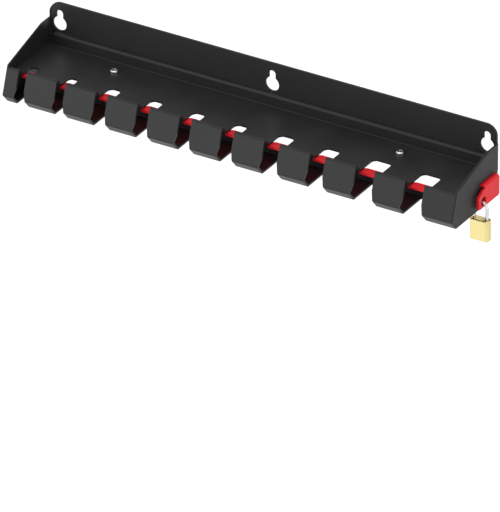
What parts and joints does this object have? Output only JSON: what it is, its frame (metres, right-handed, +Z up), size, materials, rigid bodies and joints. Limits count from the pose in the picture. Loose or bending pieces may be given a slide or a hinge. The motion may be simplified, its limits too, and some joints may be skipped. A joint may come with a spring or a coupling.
{
  "type": "pry bar rack",
  "caption": "Wall rack of folded sheet steel with open slots for pry bars, closed by a sliding bar that a small padlock holds shut.",
  "frame": {"origin": "on the wall plane, at the centre of the middle keyhole's round part", "axes": "+X to the right along the wall, +Y into the wall, +Z up; the rack stands out towards -Y"},
  "size_m": [0.5116, 0.0894, 0.1045],
  "materials": {
    "black_coat": "satin powder coat",
    "red_coat": "satin powder coat",
    "zinc": "bright zinc",
    "brass": "polished",
    "chrome": "polished",
    "plug_brass": "satin"
  },
  "bodies": {
    "root": {"back_plate": "black_coat", "slotted_tray": "black_coat", "lock_bar": "red_coat", "guide_screw_left": "zinc", "guide_spacer_left": "zinc", "guide_washer_left": "zinc", "guide_nut_left": "zinc", "guide_screw_right": "zinc", "guide_spacer_right": "zinc", "guide_washer_right": "zinc", "guide_nut_right": "zinc", "padlock_body": "brass", "padlock_shackle": "chrome", "padlock_plug": "plug_brass"}
  },
  "joints": []
}
